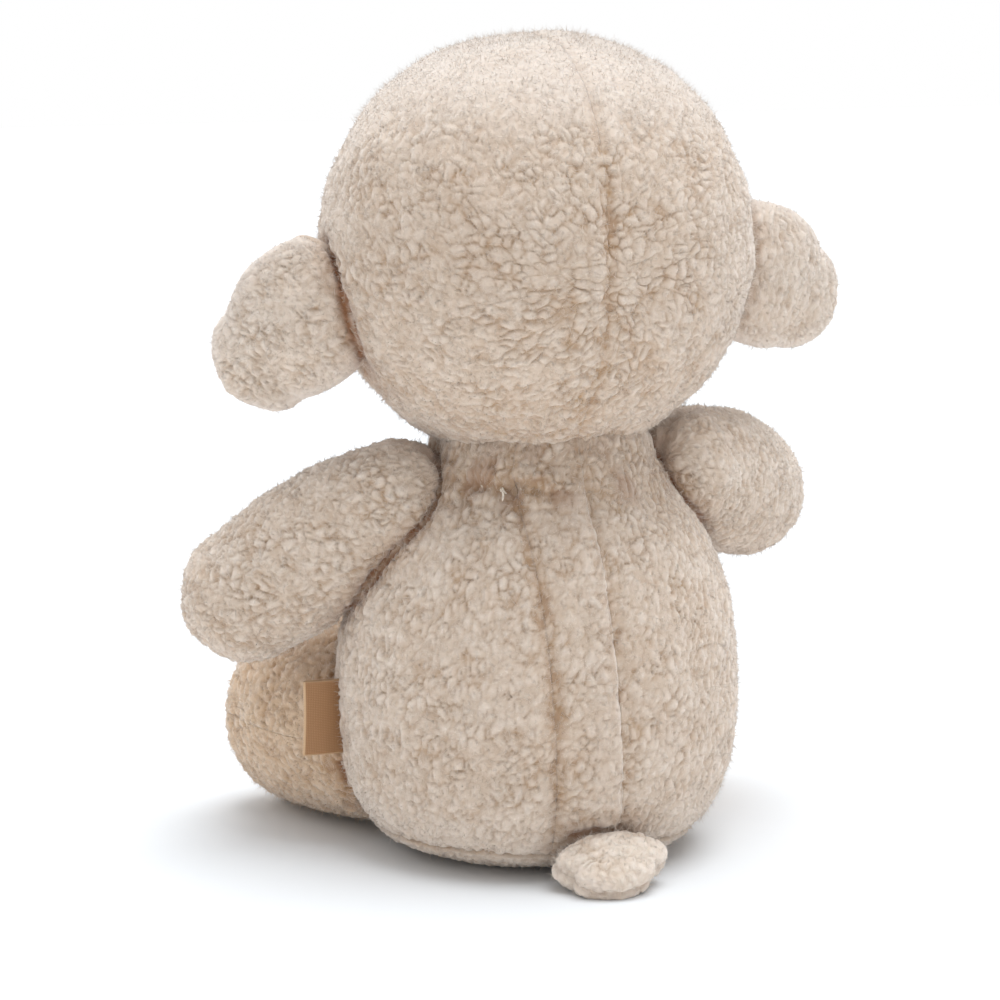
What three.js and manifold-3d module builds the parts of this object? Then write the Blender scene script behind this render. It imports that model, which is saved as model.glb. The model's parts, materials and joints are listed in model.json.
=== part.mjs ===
// Plush sheep, sitting: sewn fleece panels over stuffed fillings. The head, limbs, ears and tail flex.
// Millimetres. +Z is up, the sheep looks along -Y, its left is +X, and it sits on z = 0.
import * as THREE from 'three';
import { mergeVertices } from 'three/addons/utils/BufferGeometryUtils.js';
import Module from 'manifold-3d';

const wasm = await Module();
wasm.setup();

// Cloth and clearances
const fleeceThick = 4; // knitted back and curly pile together
const smoothThick = 2.4; // short plush of the ears and the tail
const seamGap = 0.3; // between two panels that are sewn edge to edge
const fillGap = 0.5; // between a cover and its filling
const seatGap = 0.4; // between a round root and the seat that it turns in
const turnGap = 0.6; // more in the larger form, where the limb's wider part turns past its facets
const sweepGap = 0.7; // what is left free beside a form that swings
const floorCut = 0.5; // how deep a form is cut flat where it rests
const reach = 600; // size of the blocks that divide the covers
const quarter = 90; // degrees

// Torso
const torsoHalfWidth = 61;
const torsoHalfDepth = 56;
const shoulderHeight = 120;
const neckRadius = 34; // the round top of the torso, which carries the head
const neckStart = 12; // degrees up the round top where the shoulders meet it
const sideSeam = -8; // y of the seams down the flanks
const baseSeam = 8; // height of the seam round the seat
const stripLeft = 11; // left seam of the back strip, from the middle of the seat
const stripRight = -9; // and its right seam
const stripLean = 4; // degrees that the strip leans to the sheep's left
const torsoProfileShares = [
  [0, 0.46], [0.012, 0.64], [0.05, 0.78], [0.13, 0.9], [0.24, 0.975], [0.36, 1],
  [0.5, 0.99], [0.62, 0.95], [0.73, 0.88], [0.83, 0.785], [0.91, 0.66],
];

// Head
const headHalfWidth = 64.5;
const headHalfDepth = 60;
const headHalfHeight = 64;
const headLift = 66; // of its centre, above the neck's pivot
const headForward = 4; // of its centre, ahead of the neck
const headSide = 1; // of its centre, to the sheep's left of the neck
const topFullShare = 0.86; // how square the crown is, where 1 is a ball
const bottomFullShare = 1.14;
const muzzleRise = 9;
const muzzleSpread = 34; // degrees from its middle to where it fades
const muzzleDip = 14; // degrees below level
const faceSeam = 33; // from the head's centre forward

// Ears, with their roots at the sides of the head
const ear = {
  rootWide: 20, rootDeep: 8, wide: 22.5, deep: 9.5, tipWide: 18, tipDeep: 8,
  length: 31, round: 15, bend: 4,
};
const earSink = 2.5; // root inside the side of the head
const leftEarDrop = 8.5; // root below the head's centre
const rightEarDrop = 4;
const earBack = 1; // root behind the head's centre
const leftEarAim = { forward: 28, drop: 44 };
const rightEarAim = { forward: 14, drop: 26 };
const earFlap = 18; // degrees each way

// Arms
const arm = {
  rootWide: 18, rootDeep: 18, wide: 22, deep: 22, tipWide: 21, tipDeep: 21,
  length: 55, round: 21, bend: 3,
};
const armSink = 16; // shoulder pivot inside the torso's widest
const leftArmDrop = 13; // shoulder pivot below the shoulders' height
const rightArmDrop = 8.5;
const armFront = 2; // shoulder pivot ahead of the middle
const leftArmAim = { forward: 38, drop: 32 };
const rightArmAim = { forward: 47, drop: 13 };
const armLow = 40; // degrees below level at the lower end
const armHigh = 8; // degrees above level at the upper end

// Legs
const leg = {
  rootWide: 28, rootDeep: 28, wide: 31, deep: 30, tipWide: 30, tipDeep: 31,
  length: 38.5, round: 16, bend: 0,
};
const legSink = 23; // hip pivot inside the torso's widest
const legBury = 27; // hip pivot behind the torso's front
const legSplay = 18; // degrees outward from straight ahead
const legLift = 28; // degrees that a foot rises from the floor
const soleInset = 5; // from the sole's seam to the end of the foot

// Tail
const tail = {
  rootWide: 9, rootDeep: 6, wide: 18, deep: 8, tipWide: 13, tipDeep: 6.5,
  length: 14, round: 8, bend: 0,
};
const tailSink = 8.5; // root inside the torso's back
const tailSide = 2.5; // root to the sheep's right of the middle
const tailDrop = 26; // degrees below level
const tailTurn = 2; // degrees towards the sheep's left
const tailLift = 35; // degrees

// Pellet bag that weighs the seat down
const bagRadius = 26;
const bagHeight = 15;
const bagBack = 16;

// Sewn details
const labelTall = 22.5;
const labelOut = 10; // from the seam to its fold
const labelCloth = 0.7;
const labelSlit = 0.3; // between its two layers
const labelHeight = 41; // of its middle
const eyeWide = 4.6;
const eyeRise = 1.9;
const eyeOut = 17; // degrees from the middle of the face
const eyeUp = 6; // degrees above level
const noseWide = 6.5;
const noseTall = 4.4;
const noseRise = 1.9;
const noseUp = -6; // degrees above level
const threadRadius = 0.8;
const mouthUp = -20; // degrees above level at the middle of the mouth
const mouthOut = 8; // degrees from the middle to its corners
const mouthCurl = 4; // degrees that its corners rise
const stitchWide = 3; // up and down across the closed slit
const stitchStep = 5; // along it
const stitchCount = 6;
const stitchStart = 35; // first stitch, to the left of the middle
const stitchDrop = 6; // of the slit below the shoulders' height

// Facets
const torsoAround = 16;
const domeRingCount = 4; // in the torso's round top
const headAround = 16;
const headRingCount = 10;
const limbAround = 10;
const earAround = 8;
const hollowAround = 6; // inside a limb, an ear or the tail
const capRings = 3; // in each rounded end of a limb
const midRings = 2; // between them
const seatAround = 12;
const swingStep = 19; // degrees between the places that a neighbour is cut out at
const padAround = 10;
const threadSides = 6;
const mouthSteps = 12;
const stitchSteps = 3; // along each stitch
const foldSides = 4; // round the label's fold

// Looks
const fleece = new THREE.MeshStandardMaterial({ color: 0xcbb8a6, roughness: 0.95, metalness: 0 });
const smooth = new THREE.MeshStandardMaterial({ color: 0xd8c8b8, roughness: 0.9, metalness: 0 });
const wadding = new THREE.MeshStandardMaterial({ color: 0xf2f0ec, roughness: 1, metalness: 0 });
const calico = new THREE.MeshStandardMaterial({ color: 0xe6dcc8, roughness: 0.95, metalness: 0 });
const ribbon = new THREE.MeshStandardMaterial({ color: 0x8f6646, roughness: 0.8, metalness: 0 });
const darkThread = new THREE.MeshStandardMaterial({ color: 0x4a3a30, roughness: 0.7, metalness: 0 });
const paleThread = new THREE.MeshStandardMaterial({ color: 0xe2d6c8, roughness: 0.8, metalness: 0 });

const radians = THREE.MathUtils.degToRad;
const up = new THREE.Vector3(0, 0, 1);
const still = new THREE.Matrix4();

// Solids

function solidOf(geometry, matrix = still) {
  const bare = geometry.clone().applyMatrix4(matrix);
  bare.deleteAttribute('normal');
  bare.deleteAttribute('uv');
  const merged = mergeVertices(bare);
  return new wasm.Manifold(new wasm.Mesh({
    numProp: 3,
    vertProperties: merged.attributes.position.array,
    triVerts: new Uint32Array(merged.index.array),
  }));
}

function geometryOf(solid) {
  const mesh = solid.getMesh();
  const geometry = new THREE.BufferGeometry();
  geometry.setAttribute('position', new THREE.BufferAttribute(mesh.vertProperties, mesh.numProp));
  geometry.setIndex(new THREE.BufferAttribute(mesh.triVerts, 1));
  geometry.computeVertexNormals();
  return geometry;
}

// The largest of the bodies that a cut leaves.
function largest(solid) {
  return solid.decompose().reduce((a, b) => (a.volume() > b.volume() ? a : b));
}

// A form moved inward along its normals, or outward where the depth is negative.
function shrunk(geometry, depth) {
  const moved = geometry.clone();
  moved.computeVertexNormals();
  const { position, normal } = moved.attributes;
  for (let i = 0; i < position.count; i += 1) {
    position.setXYZ(
      i,
      position.getX(i) - normal.getX(i) * depth,
      position.getY(i) - normal.getY(i) * depth,
      position.getZ(i) - normal.getZ(i) * depth,
    );
  }
  return moved;
}

// A closed form of elliptical rings along +Z, from a low pole to a high one.
function loft(low, rings, high, around) {
  const points = [low];
  rings.forEach(({ x = 0, y = 0, z, wide, deep }) => {
    for (let i = 0; i < around; i += 1) {
      const turn = (i / around) * 2 * Math.PI;
      points.push(new THREE.Vector3(x + wide * Math.cos(turn), y + deep * Math.sin(turn), z));
    }
  });
  points.push(high);
  const at = (ring, i) => 1 + ring * around + (i % around);
  const faces = [];
  for (let i = 0; i < around; i += 1) {
    faces.push(0, at(0, i + 1), at(0, i));
    for (let ring = 0; ring < rings.length - 1; ring += 1) {
      faces.push(at(ring, i), at(ring, i + 1), at(ring + 1, i + 1));
      faces.push(at(ring, i), at(ring + 1, i + 1), at(ring + 1, i));
    }
    faces.push(at(rings.length - 1, i), at(rings.length - 1, i + 1), points.length - 1);
  }
  const geometry = new THREE.BufferGeometry().setFromPoints(points);
  geometry.setIndex(faces);
  return geometry;
}

// Everything on the far side of a plane across one axis of a frame.
function beyond(frame, axis, from) {
  const box = new THREE.BoxGeometry(reach, reach, reach);
  const shift = new THREE.Vector3().setComponent('xyz'.indexOf(axis), from + reach / 2);
  return solidOf(box.translate(...shift), frame);
}

// Two sides of a sewn solid, with the seam's gap between them.
function halves(solid, frame, axis, at = 0) {
  return {
    far: largest(solid.intersect(beyond(frame, axis, at + seamGap / 2))),
    near: largest(solid.subtract(beyond(frame, axis, at - seamGap / 2))),
  };
}

// What lies above a height.
function above(height) {
  return beyond(still, 'z', height);
}

// A ball or spheroid round a pivot, with its poles on the hinge line, whose facets clear the root inside it.
function seat(frame, size, gap = seatGap + turnGap) {
  const ball = new THREE.SphereGeometry(1 / Math.cos(Math.PI / seatAround) ** 2, seatAround, seatAround / 2);
  ball.rotateZ(radians(quarter)).scale(size.rootWide + gap, size.rootDeep + gap, size.rootDeep + gap);
  return solidOf(ball, frame);
}

// Forms

const neckPivot = new THREE.Vector3(0, 0, shoulderHeight - neckRadius * Math.sin(radians(neckStart)));
const headCentre = new THREE.Vector3(headSide, -headForward, neckPivot.z + headLift);

function torsoForm(step, around) {
  const rings = torsoProfileShares.filter((_, i) => i % step === 0).map(([rise, share]) => ({
    z: rise * (shoulderHeight + floorCut) - floorCut,
    wide: share * torsoHalfWidth,
    deep: share * torsoHalfDepth,
  }));
  const domeRings = domeRingCount / step;
  for (let i = 0; i < domeRings; i += 1) {
    const rise = radians(neckStart + (i / domeRings) * (quarter - neckStart));
    const radius = neckRadius * Math.cos(rise);
    rings.push({ z: neckPivot.z + neckRadius * Math.sin(rise), wide: radius, deep: radius });
  }
  const low = new THREE.Vector3(0, 0, -floorCut);
  const high = neckPivot.clone().addScaledVector(up, neckRadius);
  return loft(low, rings, high, around);
}

function headForm(ringCount, around) {
  const rings = [];
  for (let i = 1; i < ringCount; i += 1) {
    const rise = radians((2 * i / ringCount - 1) * quarter);
    const full = rise > 0 ? topFullShare : bottomFullShare;
    const share = Math.cos(rise) ** full;
    const height = headHalfHeight * Math.sin(rise);
    rings.push({ z: height, wide: headHalfWidth * share, deep: headHalfDepth * share });
  }
  const pole = new THREE.Vector3(0, 0, headHalfHeight);
  const form = loft(pole.clone().negate(), rings, pole, around);
  return muzzled(form).translate(...headCentre);
}

// The muzzle swells out of the front of the head.
function muzzled(form) {
  const snout = new THREE.Vector3(0, -Math.cos(radians(muzzleDip)), -Math.sin(radians(muzzleDip)));
  const { position } = form.attributes;
  const point = new THREE.Vector3();
  for (let i = 0; i < position.count; i += 1) {
    point.fromBufferAttribute(position, i);
    const away = THREE.MathUtils.radToDeg(point.angleTo(snout));
    const rise = muzzleRise * Math.exp(-((away / muzzleSpread) ** 2));
    point.addScaledVector(snout, rise);
    position.setXYZ(i, point.x, point.y, point.z);
  }
  return form;
}

// A stuffed limb along +Z: a round root about the origin, a swelling shaft and a rounded tip.
function limbForm(size, around, step = 1) {
  const rings = [];
  const caps = Math.ceil(capRings / step);
  const mids = Math.ceil(midRings / step);
  for (let i = 1; i < caps; i += 1) {
    const rise = radians(quarter * (1 - i / caps));
    rings.push({
      z: -size.rootDeep * Math.sin(rise),
      wide: size.rootWide * Math.cos(rise),
      deep: size.rootDeep * Math.cos(rise),
    });
  }
  for (let i = 0; i <= mids; i += 1) {
    const along = i / mids;
    rings.push({
      y: size.bend * along ** 2,
      z: size.length * along,
      wide: swelling(along, size.rootWide, size.wide, size.tipWide),
      deep: swelling(along, size.rootDeep, size.deep, size.tipDeep),
    });
  }
  for (let i = 1; i < caps; i += 1) {
    const rise = radians((quarter * i) / caps);
    rings.push({
      y: size.bend,
      z: size.length + size.round * Math.sin(rise),
      wide: size.tipWide * Math.cos(rise),
      deep: size.tipDeep * Math.cos(rise),
    });
  }
  const low = new THREE.Vector3(0, 0, -size.rootDeep);
  const high = new THREE.Vector3(0, size.bend, size.length + size.round);
  return loft(low, rings, high, around);
}

// A size along a limb, through its root, its middle and its tip.
function swelling(along, root, middle, tip) {
  const mean = (1 - along) * root + along * tip;
  return mean + 4 * along * (1 - along) * (middle - (root + tip) / 2);
}

// Frames

// The frame of a limb: +Z runs out along it and +X is the line that it hinges about.
function limbFrame(pivot, out, hinge) {
  const z = out.clone().normalize();
  const x = hinge.clone().addScaledVector(z, -hinge.dot(z)).normalize();
  const y = z.clone().cross(x);
  return new THREE.Matrix4().makeBasis(x, y, z).setPosition(pivot);
}

// A direction out from one side, turned forward and dropped.
function aimed(side, { forward, drop }) {
  const level = Math.cos(radians(drop));
  const ahead = radians(forward);
  const fall = Math.sin(radians(drop));
  return new THREE.Vector3(side * Math.cos(ahead) * level, -Math.sin(ahead) * level, -fall);
}

// A limb's own frame turned about its hinge line
function turned(frame, degrees) {
  return frame.clone().multiply(new THREE.Matrix4().makeRotationX(radians(degrees)));
}

// The ends of a swing, and the steps between them that include where the limb rests
function swings(low, high) {
  const steps = [low];
  for (let i = Math.floor(low / swingStep) + 1; i * swingStep < high; i += 1) {
    steps.push(i * swingStep);
  }
  return [...steps, high];
}

// The space that a still neighbour takes, as a limb meets it over its swing, but for the limb's own seat
function swept(neighbour, frame, size, low, high) {
  const kept = solidOf(shrunk(neighbour, -sweepGap)).subtract(seat(frame, size, seatGap));
  const back = frame.clone().invert();
  return swings(low, high)
    .map((degrees) => frame.clone().multiply(turned(back.clone().identity(), -degrees)).multiply(back))
    .map((matrix) => kept.transform(matrix.toArray()))
    .reduce((a, b) => a.add(b));
}

// Groups

function frameGroup(frame) {
  const group = new THREE.Group();
  group.applyMatrix4(frame);
  group.updateMatrixWorld(true);
  return group;
}

function addPart(group, name, solid, look) {
  const geometry = geometryOf(solid).applyMatrix4(group.matrixWorld.clone().invert());
  const mesh = new THREE.Mesh(geometry, look);
  mesh.name = name;
  group.add(mesh);
}

const sheep = new THREE.Group();
const sides = [['left', 1], ['right', -1]];
const floor = above(0);

const torsoOuter = torsoForm(1, torsoAround);
const torsoInner = torsoForm(2, torsoAround / 2);
const headOuter = headForm(headRingCount, headAround);
const headInner = headForm(headRingCount / 2, headAround / 2);

const armAims = { left: leftArmAim, right: rightArmAim };
const armDrops = { left: leftArmDrop, right: rightArmDrop };
const earAims = { left: leftEarAim, right: rightEarAim };
const earDrops = { left: leftEarDrop, right: rightEarDrop };

function armFrame(name, side) {
  const out = aimed(side, armAims[name]);
  const height = shoulderHeight - armDrops[name];
  const shoulder = new THREE.Vector3(side * (torsoHalfWidth - armSink), -armFront, height);
  return limbFrame(shoulder, out, out.clone().cross(up));
}

function legFrame(side) {
  const splay = radians(legSplay);
  const out = new THREE.Vector3(side * Math.sin(splay), -Math.cos(splay), 0);
  const height = leg.tipDeep - floorCut;
  const hip = new THREE.Vector3(side * (torsoHalfWidth - legSink), legBury - torsoHalfDepth, height);
  return limbFrame(hip, out, out.clone().cross(up));
}

function earFrame(name, side) {
  const place = new THREE.Vector3(side * (headHalfWidth - earSink), earBack, -earDrops[name]);
  const root = place.add(headCentre);
  return limbFrame(root, aimed(side, earAims[name]), up.clone().multiplyScalar(side));
}

function tailFrame() {
  const drop = radians(tailDrop);
  const turn = radians(tailTurn);
  const level = Math.cos(drop);
  const out = new THREE.Vector3(Math.sin(turn) * level, Math.cos(turn) * level, -Math.sin(drop));
  const low = swelling(1, tail.rootDeep, tail.deep, tail.tipDeep) * Math.cos(drop);
  const height = tail.length * Math.sin(drop) + low - floorCut;
  const root = new THREE.Vector3(-tailSide, torsoHalfDepth - tailSink, height);
  return limbFrame(root, out, out.clone().cross(up));
}

const armFrames = Object.fromEntries(sides.map(([name, side]) => [name, armFrame(name, side)]));
const legFrames = Object.fromEntries(sides.map(([name, side]) => [name, legFrame(side)]));
const earFrames = Object.fromEntries(sides.map(([name, side]) => [name, earFrame(name, side)]));
const theTail = tailFrame();

// Torso: two back panels with a strip between them, a front and a base, over the filling and the pellet bag
function makeTorso() {
  const group = new THREE.Group();
  const seats = [
    ...Object.values(armFrames).map((frame) => seat(frame, arm)),
    ...Object.values(legFrames).map((frame) => seat(frame, leg)),
    seat(theTail, tail),
  ].reduce((a, b) => a.add(b));
  const inside = solidOf(shrunk(torsoInner, fleeceThick));
  const cover = solidOf(torsoOuter).intersect(floor).subtract(inside).subtract(seats);
  const { far: sleeve, near: base } = halves(cover, still, 'z', baseSeam);
  const { far: back, near: front } = halves(sleeve, still, 'y', sideSeam);
  const lean = new THREE.Matrix4().makeRotationY(radians(stripLean));
  const { far: backLeft, near: rest } = halves(back, lean, 'x', stripLeft);
  const { far: strip, near: backRight } = halves(rest, lean, 'x', stripRight);
  const bag = makeBag();
  const bagSpace = solidOf(shrunk(bag, -fillGap));
  const hollow = solidOf(shrunk(torsoInner, fleeceThick + fillGap));
  const filling = hollow.subtract(seats).subtract(bagSpace);
  addPart(group, 'torso_back_left_panel', backLeft, fleece);
  addPart(group, 'torso_back_strip', strip, fleece);
  addPart(group, 'torso_back_right_panel', backRight, fleece);
  addPart(group, 'torso_front_panel', front, fleece);
  addPart(group, 'torso_base_panel', base, fleece);
  addPart(group, 'torso_filling', largest(filling), wadding);
  addPart(group, 'pellet_bag', solidOf(bag).intersect(hollow), calico);
  return group;
}

// A flat-bottomed bag on the base panel
function makeBag() {
  const profileShares = [[0, 0], [0.8, 0], [1, 0.3], [0.9, 0.7], [0.55, 0.95], [0, 1]];
  const profile = profileShares.map(([out, rise]) => new THREE.Vector2(out * bagRadius, rise * bagHeight));
  const bag = new THREE.LatheGeometry(profile, seatAround);
  bag.rotateX(radians(quarter)).translate(0, bagBack, fleeceThick);
  bag.deleteAttribute('normal');
  bag.deleteAttribute('uv');
  return mergeVertices(bag);
}

// Head: two crown panels and a face over the filling, seated on the neck
function makeHead() {
  const group = new THREE.Group();
  const neck = limbFrame(neckPivot, up, new THREE.Vector3(1, 0, 0));
  const neckSize = { rootWide: neckRadius, rootDeep: neckRadius };
  const earSeats = Object.values(earFrames).map((frame) => seat(frame, ear)).reduce((a, b) => a.add(b));
  const cuts = earSeats.add(seat(neck, neckSize, seatGap));
  const cover = solidOf(headOuter).subtract(solidOf(shrunk(headInner, fleeceThick))).subtract(cuts);
  const { far: crown, near: face } = halves(cover, still, 'y', headCentre.y - faceSeam);
  const { far: crownLeft, near: crownRight } = halves(crown, still, 'x', headCentre.x);
  const filling = solidOf(shrunk(headInner, fleeceThick + fillGap)).subtract(cuts);
  addPart(group, 'head_left_panel', crownLeft, fleece);
  addPart(group, 'head_right_panel', crownRight, fleece);
  addPart(group, 'face_panel', face, smooth);
  addPart(group, 'head_filling', largest(filling), wadding);
  addFace(group);
  return group;
}

// A point on the face, and the way out of it
function onFace(out, rise) {
  const level = Math.cos(radians(rise));
  const turn = radians(out);
  const way = new THREE.Vector3(Math.sin(turn) * level, -Math.cos(turn) * level, Math.sin(radians(rise)));
  const ray = new THREE.Raycaster(headCentre.clone(), way);
  const skin = new THREE.Mesh(headOuter, new THREE.MeshBasicMaterial({ side: THREE.DoubleSide }));
  return { point: ray.intersectObject(skin)[0].point, way };
}

function addFace(group) {
  const skin = solidOf(shrunk(headOuter, -seamGap));
  sides.forEach(([name, side]) => {
    const eye = stitchedPad(onFace(side * eyeOut, eyeUp), eyeWide, eyeWide, eyeRise);
    addPart(group, `${name}_eye`, largest(eye.subtract(skin)), darkThread);
  });
  const nose = stitchedPad(onFace(0, noseUp), noseWide, noseTall, noseRise);
  addPart(group, 'nose', largest(nose.subtract(skin)), darkThread);
  const mouthShares = [-1, -0.5, 0, 0.5, 1];
  const places = mouthShares.map((share) => onFace(share * mouthOut, mouthUp + mouthCurl * share ** 2));
  const points = places.map(({ point, way }) => point.addScaledVector(way, threadRadius / 2));
  const mouth = thread(points, mouthSteps);
  addPart(group, 'mouth_stitching', largest(mouth.subtract(skin)), darkThread);
}

// A raised pad of stitches, its middle on the skin
function stitchedPad({ point, way }, wide, tall, rise) {
  const pad = new THREE.SphereGeometry(1, padAround, padAround / 2);
  pad.scale(wide, tall, rise * 2);
  return solidOf(pad, limbFrame(point, way, new THREE.Vector3(1, 0, 0)));
}

// A round thread through some points
function thread(points, steps) {
  const outline = new THREE.Shape().absarc(0, 0, threadRadius, 0, 2 * Math.PI);
  const extrudePath = new THREE.CatmullRomCurve3(points);
  return solidOf(new THREE.ExtrudeGeometry(outline, { extrudePath, steps, curveSegments: threadSides / 2 }));
}

// Two covers and a filling, divided along one axis of the limb
function limbPieces(size, frame, around, thick, cuts) {
  const outer = solidOf(limbForm(size, around), frame).intersect(floor).subtract(cuts);
  const coarse = limbForm(size, hollowAround, 2);
  const cover = outer.subtract(solidOf(shrunk(coarse, thick), frame));
  const depth = thick + fillGap;
  const filling = solidOf(shrunk(coarse, depth), frame).intersect(above(depth)).subtract(cuts);
  return { cover, filling: largest(filling) };
}

function makeArm(name, side) {
  const frame = armFrames[name];
  const group = frameGroup(frame);
  const { drop } = armAims[name];
  const cuts = swept(torsoOuter, frame, arm, drop - armLow, drop + armHigh);
  const { cover, filling } = limbPieces(arm, frame, limbAround, fleeceThick, cuts);
  const { far, near } = halves(cover, frame, 'x');
  addPart(group, `${name}_arm_back_panel`, side > 0 ? near : far, fleece);
  addPart(group, `${name}_arm_front_panel`, side > 0 ? far : near, fleece);
  addPart(group, `${name}_arm_filling`, filling, wadding);
  return group;
}

function makeLeg(name) {
  const frame = legFrames[name];
  const group = frameGroup(frame);
  const cuts = swept(torsoOuter, frame, leg, 0, legLift);
  const { cover, filling } = limbPieces(leg, frame, limbAround, fleeceThick, cuts);
  const { far: sole, near: tube } = halves(cover, frame, 'z', leg.length + leg.round - soleInset);
  const { far: lower, near: upper } = halves(tube, frame, 'y');
  addPart(group, `${name}_leg_upper_panel`, upper, fleece);
  addPart(group, `${name}_leg_lower_panel`, lower, fleece);
  addPart(group, `${name}_sole`, sole, smooth);
  addPart(group, `${name}_leg_filling`, filling, wadding);
  return group;
}

function makeEar(name) {
  const frame = earFrames[name];
  const group = frameGroup(frame);
  const cuts = swept(headOuter, frame, ear, -earFlap, earFlap);
  const { cover, filling } = limbPieces(ear, frame, earAround, smoothThick, cuts);
  const { far: lining, near: back } = halves(cover, frame, 'y');
  addPart(group, `${name}_ear_back`, back, fleece);
  addPart(group, `${name}_ear_lining`, lining, smooth);
  addPart(group, `${name}_ear_wadding`, filling, wadding);
  return group;
}

function makeTail() {
  const group = frameGroup(theTail);
  const cuts = swept(torsoOuter, theTail, tail, 0, tailLift);
  const { cover, filling } = limbPieces(tail, theTail, earAround, smoothThick, cuts);
  const { far: lower, near: upper } = halves(cover, theTail, 'y');
  addPart(group, 'tail_upper', upper, fleece);
  addPart(group, 'tail_lower', lower, fleece);
  addPart(group, 'tail_wadding', filling, wadding);
  return group;
}

// A bare ribbon, folded once, with its ends in the left flank's seam
function makeLabel() {
  const half = labelSlit / 2 + labelCloth;
  const root = torsoHalfWidth - fleeceThick;
  const fold = torsoHalfWidth + labelOut - half;
  const outline = new THREE.Shape();
  outline.moveTo(root, -half);
  outline.absarc(fold, 0, half, -Math.PI / 2, Math.PI / 2);
  outline.lineTo(root, half);
  outline.lineTo(root, labelSlit / 2);
  outline.absarc(fold, 0, labelSlit / 2, Math.PI / 2, -Math.PI / 2, true);
  outline.lineTo(root, -labelSlit / 2);
  const options = { depth: labelTall, bevelEnabled: false, curveSegments: foldSides };
  const strip = new THREE.ExtrudeGeometry(outline, options);
  strip.translate(0, sideSeam, labelHeight - labelTall / 2);
  return largest(solidOf(strip).subtract(solidOf(shrunk(torsoOuter, -seamGap))));
}

// The zigzag that closes the slit across the back under the head
function makeClosingThread() {
  const skin = new THREE.Mesh(torsoOuter, new THREE.MeshBasicMaterial({ side: THREE.DoubleSide }));
  const points = [];
  for (let i = 0; i <= stitchCount; i += 1) {
    const rise = (i % 2 === 0 ? 1 : -1) * stitchWide / 2;
    const start = new THREE.Vector3(stitchStart - i * stitchStep, 0, shoulderHeight - stitchDrop + rise);
    const hit = new THREE.Raycaster(start, new THREE.Vector3(0, 1, 0)).intersectObject(skin)[0];
    points.push(hit.point.addScaledVector(new THREE.Vector3(0, 1, 0), threadRadius));
  }
  return largest(thread(points, stitchCount * stitchSteps).subtract(solidOf(shrunk(torsoOuter, -seamGap))));
}

const torso = makeTorso();
addPart(torso, 'side_label', makeLabel(), ribbon);
addPart(torso, 'closing_thread', makeClosingThread(), paleThread);
const head = makeHead();
sides.forEach(([name]) => head.add(makeEar(name)));
sheep.add(torso, head);
sides.forEach(([name, side]) => sheep.add(makeArm(name, side), makeLeg(name)));
sheep.add(makeTail());

export default sheep;
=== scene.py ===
# Plush sheep, sitting: the curly fleece panels, smooth plush, ribbon and stitching over the fixed frame.
# Lengths are millimetres until a mesh is made, where MM turns them into metres.
import json
from math import asin, cos, pi, radians, sin, sqrt, tan

import bpy
import numpy as np
from mathutils import Matrix, Vector


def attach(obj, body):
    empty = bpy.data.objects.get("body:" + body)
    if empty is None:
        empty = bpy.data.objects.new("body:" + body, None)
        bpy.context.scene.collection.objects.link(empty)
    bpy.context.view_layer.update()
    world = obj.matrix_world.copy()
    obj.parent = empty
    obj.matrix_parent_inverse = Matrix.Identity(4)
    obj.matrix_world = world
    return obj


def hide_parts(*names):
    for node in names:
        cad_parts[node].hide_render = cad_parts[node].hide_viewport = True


MM = 0.001
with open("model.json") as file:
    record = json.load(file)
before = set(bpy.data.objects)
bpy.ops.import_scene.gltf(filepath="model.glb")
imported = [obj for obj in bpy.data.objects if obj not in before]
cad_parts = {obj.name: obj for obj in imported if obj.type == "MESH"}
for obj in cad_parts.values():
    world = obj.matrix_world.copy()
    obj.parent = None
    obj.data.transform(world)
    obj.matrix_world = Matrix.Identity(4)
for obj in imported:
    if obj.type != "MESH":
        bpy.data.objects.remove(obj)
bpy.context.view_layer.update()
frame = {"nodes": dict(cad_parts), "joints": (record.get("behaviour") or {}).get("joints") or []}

# Torso
TORSO_HALF_WIDTH = 61
TORSO_HALF_DEPTH = 56
SHOULDER_HEIGHT = 120
NECK_RADIUS = 34
NECK_START = 12  # degrees up the round top where the shoulders meet it
SIDE_SEAM = -8  # y of the seams down the flanks
BASE_SEAM = 8  # height of the seam round the seat
STRIP_LEFT, STRIP_RIGHT = 11, -9  # the seams of the back strip, from the middle of the seat
STRIP_LEAN = 4  # degrees that the strip leans to the sheep's left
SLIT_HEIGHT = 114  # of the closed slit across the back, under the head
TORSO_PROFILE_SHARES = [
    (0.0, 0.0), (0.0, 0.3), (0.004, 0.5), (0.02, 0.66), (0.05, 0.775), (0.09, 0.85), (0.13, 0.9),
    (0.18, 0.94), (0.24, 0.975), (0.36, 1.0), (0.5, 0.99), (0.62, 0.95), (0.73, 0.88), (0.83, 0.785),
    (0.91, 0.66),
]

# Head
HEAD_HALF_WIDTH = 64.5
HEAD_HALF_DEPTH = 60
HEAD_HALF_HEIGHT = 64
HEAD_LIFT = 66  # of its centre, above the neck's pivot
HEAD_FORWARD = 4
HEAD_SIDE = 1  # of its centre, to the sheep's left of the neck
TOP_FULL_SHARE = 0.86
BOTTOM_FULL_SHARE = 1.14
MUZZLE_RISE = 9
MUZZLE_SPREAD, MUZZLE_DIP = 34, 14  # degrees
FACE_SEAM = 33  # from the head's centre forward

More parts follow.
